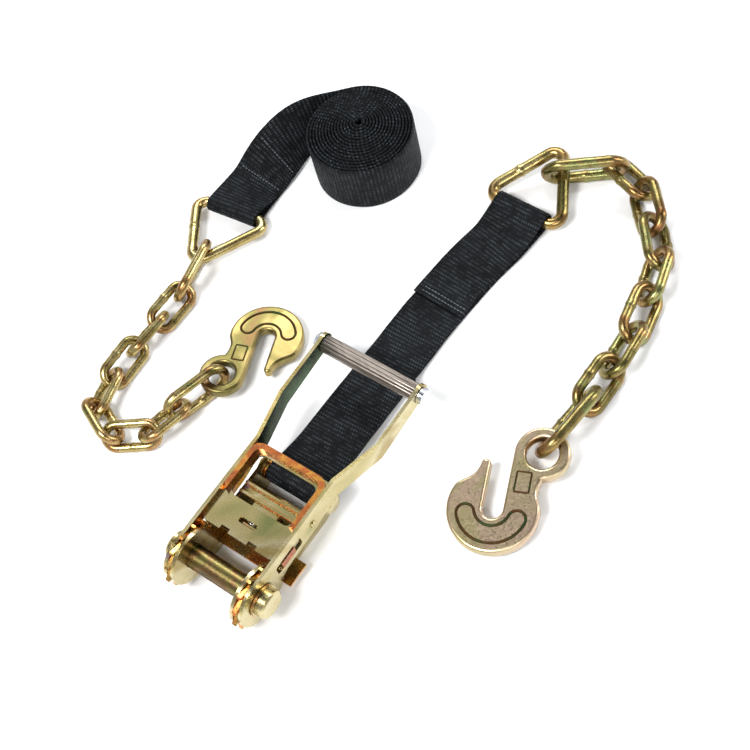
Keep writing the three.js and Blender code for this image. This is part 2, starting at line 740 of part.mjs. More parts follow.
// The lead leaves the back of the standing roll on edge and lies down on the way to the ring.
function strapLead() {
  const ringDirection = heading(longRing.heading);
  const ringAt = new THREE.Vector2(...longRing.at);
  const loopRadius = longRing.wire / 2 + 0.4 + WEB_THICK / 2;
  const end = ringAt.clone().addScaledVector(ringDirection, -loopRadius + 0.6);
  const rollAt = new THREE.Vector2(...roll.centre);
  const out = heading(roll.leaving);
  const start = rollAt.clone().addScaledVector(out, roll.radius - WEB_THICK);
  const away = new THREE.Vector2(-out.y, out.x);
  const plan = new THREE.CubicBezierCurve(
    start,
    start.clone().addScaledVector(away, 45),
    end.clone().addScaledVector(ringDirection, -55),
    end,
  );
  const length = plan.getLength();
  const steps = 28;
  const doubled = length - roll.overlap;
  const stations = Array.from({ length: steps + 1 }, (_, i) => (length * i) / steps);
  stations.push(doubled - 0.5, doubled + 0.5);
  stations.sort((a, b) => a - b);
  return sweptBand(stations.map((s) => {
    const t = s / length;
    const at = plan.getPointAt(t);
    const along = plan.getTangentAt(t);
    const lean = (Math.PI / 2) * (1 - THREE.MathUtils.smoothstep(t, 0, 0.95));
    const half = WEB_WIDTH / 2;
    const lying = THREE.MathUtils.smoothstep(t, 0.8, 1);
    const layers = s > doubled ? 2 : 1;
    const rise = half * Math.sin(lean) + WEB_THICK + GAP + lying * (longRing.height - WEB_THICK - GAP);
    const side = new THREE.Vector3(along.y, -along.x, 0).multiplyScalar(Math.cos(lean));
    const wide = side.add(new THREE.Vector3(0, 0, Math.sin(lean)));
    const thick = new THREE.Vector3(along.x, along.y, 0).cross(wide);
    return {
      middle: new THREE.Vector3(at.x, at.y, rise),
      wide: wide.multiplyScalar(half),
      thick: thick.multiplyScalar((layers * WEB_THICK) / 2),
    };
  }));
}

function longStrap() {
  const profile = [
    [roll.core, GAP], [roll.radius, GAP], [roll.radius, WEB_WIDTH + GAP], [roll.core, WEB_WIDTH + GAP],
  ];
  const points = [...profile, profile[0]].map(([radius, z]) => new THREE.Vector2(radius, z));
  const rolled = new THREE.LatheGeometry(points, 48)
    .rotateX(Math.PI / 2)
    .translate(roll.centre[0], roll.centre[1], 0);
  const inner = longRing.wire / 2 + 0.4;
  const atRing = (geometry) => geometry
    .rotateZ(radians(longRing.heading))
    .translate(...longRing.at, longRing.height);
  const loop = atRing(barY(inner + WEB_THICK, -WEB_WIDTH / 2, WEB_WIDTH / 2, 0, 0, 20));
  const hole = atRing(barY(inner, -WEB_WIDTH, WEB_WIDTH, 0, 0, 20));
  return cut(joined(rolled, strapLead(), loop), hole);
}

mesh('long_strap', longStrap(), webbing);

// The origin is the middle of the footprint, on the surface.
group.updateMatrixWorld(true);
const bounds = new THREE.Box3().setFromObject(group, true);
const middle = bounds.getCenter(new THREE.Vector3());
group.position.set(-middle.x, -middle.y, -bounds.min.z);

export default group;
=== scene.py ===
"""A two-inch ratchet tie-down: ratchet with a fixed strap, a rolled long strap, and on each
end a delta ring, a short chain and a grab hook. Lengths are in metres; MM turns millimetres
into them. Everything stands on the surface z = 0."""

import json
import math

import bmesh
import bpy
import numpy
from mathutils import Euler, Matrix, Vector, noise

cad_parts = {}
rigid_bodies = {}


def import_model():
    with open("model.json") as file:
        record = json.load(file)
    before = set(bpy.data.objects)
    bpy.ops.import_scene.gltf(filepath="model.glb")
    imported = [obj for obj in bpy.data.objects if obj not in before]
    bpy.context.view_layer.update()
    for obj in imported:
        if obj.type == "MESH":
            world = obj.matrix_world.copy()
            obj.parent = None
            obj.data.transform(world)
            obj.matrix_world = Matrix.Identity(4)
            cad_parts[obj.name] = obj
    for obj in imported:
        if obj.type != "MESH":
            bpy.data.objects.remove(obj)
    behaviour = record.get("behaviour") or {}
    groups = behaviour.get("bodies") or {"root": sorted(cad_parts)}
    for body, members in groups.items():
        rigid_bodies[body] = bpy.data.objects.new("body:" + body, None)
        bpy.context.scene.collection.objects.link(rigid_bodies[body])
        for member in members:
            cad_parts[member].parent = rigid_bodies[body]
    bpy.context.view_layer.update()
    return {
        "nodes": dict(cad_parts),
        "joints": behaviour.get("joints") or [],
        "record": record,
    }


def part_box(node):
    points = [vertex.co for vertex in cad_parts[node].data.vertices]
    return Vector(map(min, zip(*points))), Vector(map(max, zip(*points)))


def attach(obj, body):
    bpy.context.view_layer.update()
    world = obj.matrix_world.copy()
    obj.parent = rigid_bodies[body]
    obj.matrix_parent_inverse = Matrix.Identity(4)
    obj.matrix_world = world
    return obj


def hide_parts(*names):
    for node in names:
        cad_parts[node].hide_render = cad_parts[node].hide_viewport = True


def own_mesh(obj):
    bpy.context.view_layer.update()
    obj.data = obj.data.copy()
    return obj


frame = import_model()

MM = 0.001
NODES = frame["nodes"]
JOINTS = {joint["name"]: joint for joint in frame["joints"]}

# The design is laid out from a point of its own; the spindle shows where that point is.
SPINDLE = Vector(JOINTS["spindle_spin"]["pos_m"])
ORIGIN = SPINDLE - Vector((-155, -140, 28)) * MM
RATCHET_HEADING = math.radians(38.9)

ROUND_WIRE = 0.955  # a round wire with the section area of the CAD's octagonal one
WEB_WIDTH = 50 * MM
WEB_THICK = 2.0 * MM
RING_PLAY = 0.8 * MM  # from a ring's wire to the inside of the loop round it
LAYER = 1.15 * MM  # from the middle of a doubled strap to the middle of each layer
STATION_STEP = 2.5 * MM  # between the places where a strap's path is worked out

# The camera looks at the design's own point from CAMERA_DISTANCE millimetres away.
CAMERA_ELEVATION = math.radians(59.27)
CAMERA_ROLL = math.radians(-18.23)
CAMERA_DISTANCE = 1162.63
CAMERA_LENS = 68.36

ANCHOR_REACH = 92 * MM
ANCHOR_HEIGHT = 17 * MM
SLEEVE_RADIUS = 7 * MM

# Sizes and places in millimetres, headings and tilts in degrees. A ring's `at` and `height`
# are where the strap goes round its base; a hook's `at` is the middle of its eye.
RINGS = {
    "short": dict(wire=10.4, side=79.6, bend=9, at=(162, 103.4), heading=37.5, height=8.6, tilt=12),
    "long": dict(wire=9.4, side=79.6, bend=9, at=(-72.6, 200.6), heading=-135, height=8.2, tilt=7.3),
}
HOOKS = {
    "short": dict(scale=0.98, at=(102.5, -123.8, 16.2), heading=-151, tilt=5.8),
    "long": dict(scale=0.86, at=(-119.3, 36.3, 14.6), heading=29, tilt=6.2),
}
ROLL = dict(centre=(53, 209), radius=48.2, core=3.5, turns=16, leaving=88, drift=(1.5, 8.5), overlap=62)


# ---------------------------------------------------------------- camera, light and floor


def place(x, y, z=0.0):
    """A point of the design, given in millimetres."""
    return ORIGIN + Vector((x, y, z)) * MM


def make_camera():
    forward = Vector((0, math.cos(CAMERA_ELEVATION), -math.sin(CAMERA_ELEVATION)))
    level = Vector((1, 0, 0))
    upright = level.cross(forward)
    right = math.cos(CAMERA_ROLL) * level + math.sin(CAMERA_ROLL) * upright
    up = math.cos(CAMERA_ROLL) * upright - math.sin(CAMERA_ROLL) * level
    data = bpy.data.cameras.new("camera")
    data.lens = CAMERA_LENS
    data.sensor_width = 36
    data.clip_end = 20
    camera = bpy.data.objects.new("camera", data)
    aimed = Matrix((right, up, -forward)).transposed().to_4x4()
    camera.matrix_world = Matrix.Translation(place(*(-CAMERA_DISTANCE * forward))) @ aimed
    bpy.context.scene.collection.objects.link(camera)
    bpy.context.scene.camera = camera


def area_light(name, position, target, size, power, colour=(1, 1, 1)):
    data = bpy.data.lights.new(name, "AREA")
    data.shape = "RECTANGLE"
    data.size, data.size_y = size
    data.energy = power
    data.color = colour
    light = bpy.data.objects.new(name, data)
    direction = Vector(target) - Vector(position)
    light.location = position
    light.rotation_euler = direction.to_track_quat("-Z", "Y").to_euler()
    bpy.context.scene.collection.objects.link(light)


def make_world():
    """White at the horizon and below it, falling to near black overhead."""
    world = bpy.data.worlds.new("studio")
    world.use_nodes = True
    tree = world.node_tree
    background = tree.nodes["Background"]
    coordinates = tree.nodes.new("ShaderNodeTexCoord")
    split = tree.nodes.new("ShaderNodeSeparateXYZ")
    ramp = tree.nodes.new("ShaderNodeValToRGB")
    tree.links.new(coordinates.outputs["Generated"], split.inputs[0])
    tree.links.new(split.outputs["Z"], ramp.inputs[0])
    tree.links.new(ramp.outputs[0], background.inputs[0])
    ramp.color_ramp.elements[0].color = (1, 1, 1, 1)
    ramp.color_ramp.elements[1].color = (0.05, 0.05, 0.06, 1)
    middle = ramp.color_ramp.elements.new(0.55)
    middle.color = (0.26, 0.27, 0.28, 1)
    background.inputs[1].default_value = 1.0
    bpy.context.scene.world = world


def make_stage():
    bpy.context.scene.view_settings.view_transform = "Standard"
    make_world()
    area_light("key", (-0.9, -0.5, 1.7), (0, 0, 0), (0.7, 0.5), 36)
    area_light("back", (0.5, 1.5, 1.5), (0, 0, 0), (1.4, 0.35), 24, (0.96, 0.98, 1))
    area_light("panel", (0.05, 1.05, 1.75), (0, 0, 0), (1.5, 0.8), 3.8)
    area_light("side", (1.6, -0.1, 0.9), (0, 0, 0), (0.3, 1.1), 14)
    area_light("front", (0.1, -1.6, 1.2), (0, 0, 0), (1.2, 0.3), 12)
    bpy.ops.mesh.primitive_plane_add(size=8)
    floor = bpy.context.object
    floor.name = "floor"
    material, shader = new_material("pale_floor")
    shader.inputs["Base Color"].default_value = (0.93, 0.93, 0.93, 1)
    shader.inputs["Roughness"].default_value = 0.9
    floor.data.materials.append(material)


# ---------------------------------------------------------------- materials


def new_material(name):
    material = bpy.data.materials.new(name)
    material.use_nodes = True
    return material, material.node_tree.nodes["Principled BSDF"]


class Nodes:
    """Short ways of adding the shader nodes that the materials share."""

    def __init__(self, material):
        self.tree = material.node_tree
        self.objects = self.add("TexCoord").outputs["Object"]

    def add(self, kind):
        return self.tree.nodes.new("ShaderNode" + kind)

    def link(self, source, target):
        self.tree.links.new(source, target)

    def feed(self, socket, value):
        if isinstance(value, (int, float)):
            socket.default_value = value
        else:
            self.link(value, socket)

    def noise(self, scale, detail=2.0, roughness=0.5, stretch=None, distortion=0.0):
        node = self.add("TexNoise")
        node.inputs["Scale"].default_value = scale
        node.inputs["Detail"].default_value = detail
        node.inputs["Roughness"].default_value = roughness
        node.inputs["Distortion"].default_value = distortion
        source = self.objects
        if stretch:
            mapping = self.add("Mapping")
            mapping.inputs["Rotation"].default_value = (0, 0, stretch[0])
            mapping.inputs["Scale"].default_value = stretch[1]
            self.link(source, mapping.inputs["Vector"])
            source = mapping.outputs["Vector"]
        self.link(source, node.inputs["Vector"])
        return node.outputs["Fac"]

    def ramp(self, value, stops):
        node = self.add("ValToRGB")
        elements = node.color_ramp.elements
        for end, (position, colour) in ((0, stops[0]), (1, stops[-1])):
            elements[end].position = position
            elements[end].color = (*colour, 1)
        for position, colour in stops[1:-1]:
            elements.new(position).color = (*colour, 1)
        self.link(value, node.inputs[0])
        return node.outputs["Color"]

    def math(self, operation, a, b=0.0):
        node = self.add("Math")
        node.operation = operation
        self.feed(node.inputs[0], a)
        self.feed(node.inputs[1], b)
        return node.outputs[0]

    def remap(self, value, low, high, to_low=0.0, to_high=1.0):
        node = self.add("MapRange")
        node.inputs["From Min"].default_value = low
        node.inputs["From Max"].default_value = high
        node.inputs["To Min"].default_value = to_low
        node.inputs["To Max"].default_value = to_high
        self.link(value, node.inputs["Value"])
        return node.outputs["Result"]

    def mix(self, share, first, second, blend="MIX"):
        node = self.add("Mix")
        node.data_type = "RGBA"
        node.blend_type = blend
        self.feed(node.inputs["Factor"], share)
        for socket, colour in ((node.inputs[6], first), (node.inputs[7], second)):
            if isinstance(colour, tuple):
                socket.default_value = (*colour, 1)
            else:
                self.link(colour, socket)
        return node.outputs[2]

    def attribute(self, name):
        node = self.add("Attribute")
        node.attribute_name = name
        return node.outputs["Fac"]

    def bump(self, height, strength, distance):
        node = self.add("Bump")
        node.inputs["Strength"].default_value = strength
        node.inputs["Distance"].default_value = distance
        self.link(height, node.inputs["Height"])
        return node.outputs["Normal"]


OLIVE = (0.17, 0.15, 0.05)
GOLD = (0.42, 0.32, 0.12)
PALE = (0.60, 0.53, 0.31)
STRAW = (0.50, 0.42, 0.19)
BRASS = (0.31, 0.24, 0.09)
SAND = (0.56, 0.47, 0.27)
PINK = (0.62, 0.46, 0.33)
MOSS = (0.27, 0.29, 0.11)
FERN = (0.07, 0.13, 0.05)
UMBER = (0.07, 0.035, 0.015)
RUST = (0.36, 0.12, 0.05)
BRONZE = (0.19, 0.11, 0.05)
SHADE = (0.035, 0.055, 0.02)
AMBER = (0.75, 0.38, 0.08)
COPPER = (0.62, 0.20, 0.06)
VIOLET = (0.46, 0.36, 0.58)


def zinc(name, tones, scale, rust, roughness, bands=None):
    """Yellow zinc plating: a film whose colour wanders through `tones`, with rust in the
    bends of a wire and a fine grain."""
    material, shader = new_material(name)
    nodes = Nodes(material)
    stretch = (RATCHET_HEADING, bands) if bands else None
    wander = nodes.noise(scale, detail=2.5, roughness=0.55, stretch=stretch, distortion=0.7)
    colour = nodes.ramp(nodes.remap(wander, 0.28, 0.72), tones)
    if rust:
        patches = nodes.remap(nodes.noise(scale * 1.9, 2), 0.42, 0.6)
        share = nodes.math("MULTIPLY", nodes.attribute("bend"), patches)
        colour = nodes.mix(nodes.math("MULTIPLY", share, rust), colour, RUST)
    speckle = nodes.noise(700, 3, 0.6)
    grain = nodes.ramp(speckle, [(0.3, (0.72, 0.7, 0.68)), (0.6, (1, 1, 1))])
    colour = nodes.mix(0.5, colour, grain, "MULTIPLY")
    nodes.link(colour, shader.inputs["Base Color"])
    nodes.link(nodes.remap(speckle, 0.3, 0.7, *roughness), shader.inputs["Roughness"])
    shader.inputs["Metallic"].default_value = 1.0
    nodes.link(nodes.bump(speckle, 0.12, 0.0001), shader.inputs["Normal"])
    return material


def plain_metal(name, light, dark, roughness, stretch=(1, 1, 1)):
    """Bare or bright-plated steel with drawing marks."""
    material, shader = new_material(name)
    nodes = Nodes(material)
    marks = nodes.noise(240, 4, 0.65, (RATCHET_HEADING, stretch))
    nodes.link(nodes.ramp(marks, [(0.3, dark), (0.68, light)]), shader.inputs["Base Color"])
    nodes.link(nodes.remap(marks, 0.3, 0.7, *roughness), shader.inputs["Roughness"])
    shader.inputs["Metallic"].default_value = 1.0
    nodes.link(nodes.bump(marks, 0.3, 0.0001), shader.inputs["Normal"])
    return material


def webbing_material():
    """Black polyester webbing: rows of short floats across the strap, offset row by row, with a painted
    highlight on the top of each float.
    """
    row_pitch = 3.5 * MM
    float_pitch = 2.3 * MM
    material, shader = new_material("black_webbing")
    nodes = Nodes(material)
    where = nodes.add("UVMap")
    where.uv_map = "along"
    split = nodes.add("SeparateXYZ")
    nodes.link(where.outputs[0], split.inputs[0])
    across, along = split.outputs["X"], split.outputs["Y"]
    wobble = nodes.math("MULTIPLY", nodes.noise(60, 2), 0.5)
    rows = nodes.math("ADD", nodes.math("DIVIDE", along, row_pitch), wobble)
    shift = nodes.math("MULTIPLY", nodes.math("FLOOR", rows), 0.5)
    floats = nodes.math("ADD", nodes.math("DIVIDE", across, float_pitch), shift)

    def dome(value):
        centred = nodes.math("SUBTRACT", nodes.math("MULTIPLY", nodes.math("FRACT", value), 2), 1)
        return nodes.math("SUBTRACT", 1, nodes.math("POWER", nodes.math("ABSOLUTE", centred), 2))

    weave = nodes.math("MULTIPLY", dome(rows), nodes.math("SQRT", dome(floats)))
    fuzz = nodes.noise(700, 3, 0.7)
    height = nodes.math("ADD", weave, nodes.math("MULTIPLY", fuzz, 0.35))
    # Painted highlight: the tops of the floats are lighter, broken into patches by noise.
    glint_patches = nodes.remap(nodes.noise(130, 3, 0.7), 0.40, 0.68)
    glint = nodes.math("MULTIPLY", nodes.remap(weave, 0.55, 1.0), glint_patches)
    black, faded, shine = (0.002, 0.0024, 0.003), (0.005, 0.006, 0.0075), (0.055, 0.066, 0.075)
    dark = nodes.ramp(nodes.noise(24, 2), [(0.35, black), (0.7, faded)])
    nodes.link(nodes.mix(glint, dark, shine), shader.inputs["Base Color"])
    nodes.link(nodes.remap(fuzz, 0.3, 0.7, 0.5, 0.75), shader.inputs["Roughness"])
    shader.inputs["Specular IOR Level"].default_value = 0.12
    nodes.link(nodes.bump(height, 0.9, 0.0006), shader.inputs["Normal"])
    return material


def thread_material():
    """Grey sewing thread with a fine twist."""
    material, shader = new_material("grey_thread")
    nodes = Nodes(material)
    twist = nodes.noise(1600, 2)
    colour = nodes.ramp(twist, [(0.35, (0.05, 0.06, 0.07)), (0.65, (0.20, 0.23, 0.25))])
    nodes.link(colour, shader.inputs["Base Color"])
    shader.inputs["Roughness"].default_value = 0.6
    nodes.link(nodes.bump(twist, 0.5, 0.0002), shader.inputs["Normal"])
    return material


def make_materials():
    """All the looks by name. Each list of tones is a ramp of (position, colour)."""
    chain_right = [(0.05, BRONZE), (0.3, OLIVE), (0.55, BRASS), (0.75, MOSS), (0.95, BRONZE)]
    chain_left = [(0.05, OLIVE), (0.3, GOLD), (0.52, STRAW), (0.72, GOLD), (0.95, MOSS)]
    plate = [(0.05, MOSS), (0.3, STRAW), (0.5, PALE), (0.7, GOLD), (0.86, STRAW), (0.97, VIOLET)]
    # The inside of the left arm: painted shade, a dark green standing in for the dark that the plate
    # reflects.
    arm_painted_shade = [(0.2, SHADE), (0.45, FERN), (0.62, SHADE), (0.85, OLIVE)]
    spindle = [(0.1, SHADE), (0.4, BRONZE), (0.6, OLIVE), (0.8, BRONZE)]
    forged_right = [(0.1, STRAW), (0.35, SAND), (0.6, PINK), (0.85, SAND)]
    forged_left = [(0.1, BRONZE), (0.4, OLIVE), (0.65, BRASS), (0.9, GOLD)]
    ring = [(0.1, OLIVE), (0.4, GOLD), (0.65, STRAW), (0.9, GOLD)]
    edge = [(0.2, COPPER), (0.5, GOLD), (0.75, COPPER)]
    rim = [(0.15, COPPER), (0.4, AMBER), (0.55, COPPER), (0.8, RUST)]
    inside = [(0.2, AMBER), (0.45, GOLD), (0.6, AMBER), (0.85, COPPER)]
    # Dark rims on the hooks: painted shade standing in for a sunken recess.
    groove_painted_shade = [(0.3, SHADE), (0.7, UMBER)]
    tube_light, tube_dark = (0.30, 0.26, 0.225), (0.19, 0.165, 0.145)
    return {
        "chain_short": zinc("zinc_chain_short", chain_right, 30, 0.42, (0.24, 0.38)),
        "chain_long": zinc("zinc_chain_long", chain_left, 30, 0.5, (0.22, 0.36)),
        "ring": zinc("zinc_ring", ring, 26, 0.3, (0.22, 0.36)),
        "hook_short": zinc("zinc_hook_short", forged_right, 24, 0.0, (0.26, 0.4)),
        "hook_long": zinc("zinc_hook_long", forged_left, 26, 0.0, (0.26, 0.4)),
        "plate": zinc("zinc_plate", plate, 22, 0.0, (0.16, 0.3), (0.35, 1, 1)),
        "edge": zinc("zinc_edge", edge, 40, 0.0, (0.2, 0.34)),
        "rim": zinc("zinc_rim", rim, 45, 0.0, (0.2, 0.32)),
        "inside": zinc("zinc_inside", inside, 40, 0.0, (0.18, 0.3)),
        "arm_painted_shade": zinc("zinc_arm_painted_shade", arm_painted_shade, 26, 0.0, (0.18, 0.3)),
        "spindle": zinc("zinc_spindle", spindle, 40, 0.0, (0.24, 0.4)),
        "groove_painted_shade": zinc("zinc_groove_painted_shade", groove_painted_shade, 60, 0.0, (0.45, 0.6)),
        "bright": plain_metal("bright_steel", (0.78, 0.80, 0.83), (0.5, 0.52, 0.55), (0.16, 0.3)),
        "grip": plain_metal("satin_tube", tube_light, tube_dark, (0.32, 0.46), (1, 0.05, 1)),
        "spring": plain_metal("spring_wire", (0.6, 0.6, 0.6), (0.35, 0.35, 0.36), (0.2, 0.35)),
        "webbing": webbing_material(),
        "thread": thread_material(),
    }


# ---------------------------------------------------------------- mesh helpers


def add_piece(name, vertices, faces, material, body):
    """A smooth mesh that rides on a body and has one material."""
    data = bpy.data.meshes.new(name)
    data.from_pydata([tuple(v) for v in vertices], [], faces)
    data.polygons.foreach_set("use_smooth", [True] * len(faces))
    data.materials.append(material)
    piece = bpy.data.objects.new(name, data)
    bpy.context.scene.collection.objects.link(piece)
    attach(piece, body)
    return piece


def set_attribute(piece, name, values):
    attribute = piece.data.attributes.new(name, "FLOAT", "POINT")
    attribute.data.foreach_set("value", values)


def arc_path(arcs):
    """Points along arcs (radius, x, y, from, to) joined by straight lines, closed, in millimetres."""
    arc_step, straight_step = 1.3, 1.6
    points = []
    for radius, x, y, start, end in arcs:
        steps = max(8, round(abs(end - start) * radius / arc_step))
        for i in range(steps + 1):
            angle = start + (end - start) * i / steps
            points.append(Vector((x + radius * math.cos(angle), y + radius * math.sin(angle), 0)))
    dense = []
    for a, b in zip(points, points[1:] + points[:1]):
        parts = max(1, round((b - a).length / straight_step))
        dense.extend(a.lerp(b, i / parts) for i in range(parts))
    return dense


def bezier_points(a, b, c, d, steps=12):
    """Points along a cubic curve from `a` to `d`, without `a` itself."""
    points = []
    for i in range(1, steps + 1):
        t = i / steps
        points.append(a * (1 - t) ** 3 + b * 3 * t * (1 - t) ** 2 + c * 3 * t * t * (1 - t) + d * t**3)
    return points


def wire_loop(path, radius, matrix, welds=(), sides=16):
    """A round wire along a closed flat path in millimetres; each weld is a raised seam. The
    third list says for every vertex how much of it lies in a bend."""
    weld_rise, weld_spread, dent_depth = 0.13, 1.5, 0.14
    count = len(path)
    vertices, faces, bends = [], [], []
    for i, point in enumerate(path):
        before, after = path[i - 1], path[(i + 1) % count]
        along = (after - before).normalized()
        outward = Vector((along.y, -along.x, 0))
        turning = (after - point).normalized().cross((point - before).normalized()).length
        swell = 1.0
        for weld in welds:
            swell += weld_rise * math.exp(-(((point - weld).length / weld_spread) ** 2))
        for side in range(sides):
            angle = 2 * math.pi * side / sides
            offset = outward * math.cos(angle) + Vector((0, 0, math.sin(angle)))
            local = point + offset * radius * swell
            dent = noise.noise(local * 0.16 + matrix.translation * 900) * dent_depth
            vertices.append(matrix @ ((local + offset * dent) * MM))
            bends.append(1.0 if turning > 0.02 else 0.12)
    for i in range(count):
        for side in range(sides):
            a = i * sides + side
            b = i * sides + (side + 1) % sides
            c = ((i + 1) % count) * sides
            faces.append((a, c + side, c + (side + 1) % sides, b))
    return vertices, faces, bends


def turned(position, heading, tilt=0.0):
    """The place of a piece that points along `heading` and rises by `tilt`, in degrees."""
    rotation = Euler((0, math.radians(tilt), math.radians(heading)), "XYZ").to_matrix().to_4x4()
    return Matrix.Translation(position) @ rotation


def node_axes(node):
    """Middle of a CAD node, its directions from the longest to the shortest, and its extents."""
    data = NODES[node].data
    points = numpy.array([vertex.co for vertex in data.vertices])
    points = numpy.unique(points.round(7), axis=0)
    _, vectors = numpy.linalg.eigh(numpy.cov((points - points.mean(axis=0)).T))
    axes = vectors[:, ::-1].T
    spans = points @ axes.T
    low, high = spans.min(axis=0), spans.max(axis=0)
    middle = axes.T @ ((low + high) / 2)
    return Vector(middle), [Vector(axis) for axis in axes], high - low


def bevelled_copy(node, body, materials, width=0.45, region=None):
    """A CAD node with its sharp edges rounded. The rounding takes the second material, and
    region(middle, normal) may give a flat face the number of another."""
    mesh = bmesh.new()
    mesh.from_mesh(NODES[node].data)
    bmesh.ops.remove_doubles(mesh, verts=mesh.verts, dist=1e-6)
    bmesh.ops.dissolve_limit(mesh, angle_limit=math.radians(1), verts=mesh.verts, edges=mesh.edges)
    fold = math.radians(38)
    sharp = [edge for edge in mesh.edges if edge.is_manifold and edge.calc_face_angle() > fold]
    bmesh.ops.bevel(
        mesh, geom=sharp, offset=width * MM, segments=2, affect="EDGES",
        clamp_overlap=True, material=min(1, len(materials) - 1),
    )
    bmesh.ops.triangulate(mesh, faces=[face for face in mesh.faces if len(face.verts) > 4])
    for face in mesh.faces:
        face.smooth = True
        if region and face.material_index == 0:
            face.material_index = region(face.calc_center_median(), face.normal)
    for edge in mesh.edges:
        edge.smooth = not edge.is_manifold or edge.calc_face_angle() < math.radians(32)
    data = bpy.data.meshes.new("finished_" + node)
    mesh.to_mesh(data)
    mesh.free()
    for material in materials:
        data.materials.append(material)
    piece = bpy.data.objects.new(data.name, data)
    bpy.context.scene.collection.objects.link(piece)
    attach(piece, body)
    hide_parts(node)
    return piece


# ---------------------------------------------------------------- webbing


def smoothstep(value, low, high):
    share = min(max((value - low) / (high - low), 0.0), 1.0)
    return share * share * (3 - 2 * share)


def spline_point(points, t):
    """A point on the curve that runs evenly through all the points."""
    last = len(points) - 1
    i = min(int(t * last), last - 1)
    w = t * last - i
    before = points[max(i - 1, 0)]
    start, end = points[i], points[i + 1]
    after = points[min(i + 2, last)]
    v0, v1 = (end - before) * 0.5, (after - start) * 0.5
    cubic = (2 * start - 2 * end + v0 + v1) * w**3
    return cubic + (3 * (end - start) - 2 * v0 - v1) * w**2 + v0 * w + start


class Path:
    """A polyline that is read by the distance along it."""

    def __init__(self, points):
        self.points = points
        self.reach = [0.0]
        for a, b in zip(points, points[1:]):
            self.reach.append(self.reach[-1] + (b - a).length)
        self.length = self.reach[-1]

    def at(self, s):
        i = int(numpy.searchsorted(self.reach, s, side="right")) - 1
        i = min(max(i, 0), len(self.points) - 2)
        a, b = self.points[i], self.points[i + 1]
        along = (b - a).normalized()
        return a + along * (s - self.reach[i]), along


def eased(stations, passes):
    """Rounds the corners of a run of (middle, wide) stations; both ends stay."""
    for _ in range(passes):
        inner = [
            ((a[0] + 2 * b[0] + c[0]) / 4, ((a[1] + 2 * b[1] + c[1]) / 4).normalized())
            for a, b, c in zip(stations, stations[1:], stations[2:])
        ]
        stations = [stations[0], *inner, stations[-1]]
    return stations


def spaced(stations, step):
    """The same run with its stations at even distances."""
    path = Path([middle for middle, _ in stations])
    count = max(2, round(path.length / step))
    out = []
    for k in range(count + 1):
        s = path.length * k / count
        i = min(max(int(numpy.searchsorted(path.reach, s, side="right")) - 1, 0), len(stations) - 2)
        gap = path.reach[i + 1] - path.reach[i]
        share = (s - path.reach[i]) / gap if gap else 0.0
        wide = stations[i][1].lerp(stations[i + 1][1], min(share, 1)).normalized()
        out.append((path.at(s)[0], wide))
    return out, path.length


def band(name, stations, length, body, material):
    """Webbing through (middle, wide) stations, with rounded, slightly uneven selvedges."""
    flat = (-0.96, -0.8, -0.5, -0.17, 0.17, 0.5, 0.8, 0.96)
    top = [(u, 1.0) for u in flat]
    bottom = [(u, -1.0) for u in reversed(flat)]
    section = [(-1.0, 0.4), *top, (1.0, 0.4), (1.0, -0.4), *bottom, (-1.0, -0.4)]
    count, sides = len(stations), len(section)
    edge_waver, face_ripple = 0.012, 0.00022
    vertices, faces, coordinates = [], [], []
    for i, (middle, wide) in enumerate(stations):
        along = (stations[min(i + 1, count - 1)][0] - stations[max(i - 1, 0)][0]).normalized()
        normal = along.cross(wide).normalized()
        s = length * i / (count - 1)
        half = WEB_WIDTH / 2 * (1 + edge_waver * noise.noise(Vector((s * 40, 3, 0))))
        for u, t in section:
            ripple = face_ripple * noise.noise(Vector((s * 55, u * 1.5, 7)))
            vertices.append(middle + wide * u * half + normal * (t * WEB_THICK / 2 + ripple))
            coordinates.append((u * WEB_WIDTH / 2, s))
    for i in range(count - 1):
        for k in range(sides):
            a, b = i * sides + k, i * sides + (k + 1) % sides
            faces.append((a, b, b + sides, a + sides))
    faces.append(tuple(range(sides))[::-1])
    faces.append(tuple((count - 1) * sides + k for k in range(sides)))
    piece = add_piece(name, vertices, faces, material, body)
    layer = piece.data.uv_layers.new(name="along")
    for loop in piece.data.loops:
        layer.data[loop.index].uv = coordinates[loop.vertex_index]
    return piece


def stitch_rows(name, station, rows, body, material):
    """Rows of thread across a strap at the distances in `rows`; station(s) gives the strap."""
    vertices, faces = [], []
    pitch, stitch, thread = 3.3 * MM, 2.5 * MM, 0.42 * MM
    lift, inset = WEB_THICK / 2, 3.0 * MM
    reach = WEB_WIDTH / 2 - inset
    steps, sides = 5, 6
    for s in rows:
        middle, wide, up = station(s)
        along = wide.cross(up)
        for k in range(int(2 * reach / pitch)):
            start = -reach + k * pitch
            base = len(vertices)
            for j in range(steps + 1):
                share = j / steps
                arch = math.sin(math.pi * share)
                centre = middle + wide * (start + stitch * share) + up * (lift + thread * 0.9 * arch)
                for corner in range(sides):
                    angle = 2 * math.pi * corner / sides
                    swell = thread * (0.35 + 0.65 * arch)
                    vertices.append(centre + (along * math.cos(angle) + up * math.sin(angle)) * swell)
            for j in range(steps):
                for corner in range(sides):
                    a, b = base + j * sides + corner, base + j * sides + (corner + 1) % sides
                    faces.append((a, b, b + sides, a + sides))
            faces.append(tuple(base + corner for corner in range(sides))[::-1])
            faces.append(tuple(base + steps * sides + corner for corner in range(sides)))
    return add_piece(name, vertices, faces, material, body)


def flat_direction(degrees):
    return Vector((math.cos(math.radians(degrees)), math.sin(math.radians(degrees)), 0))


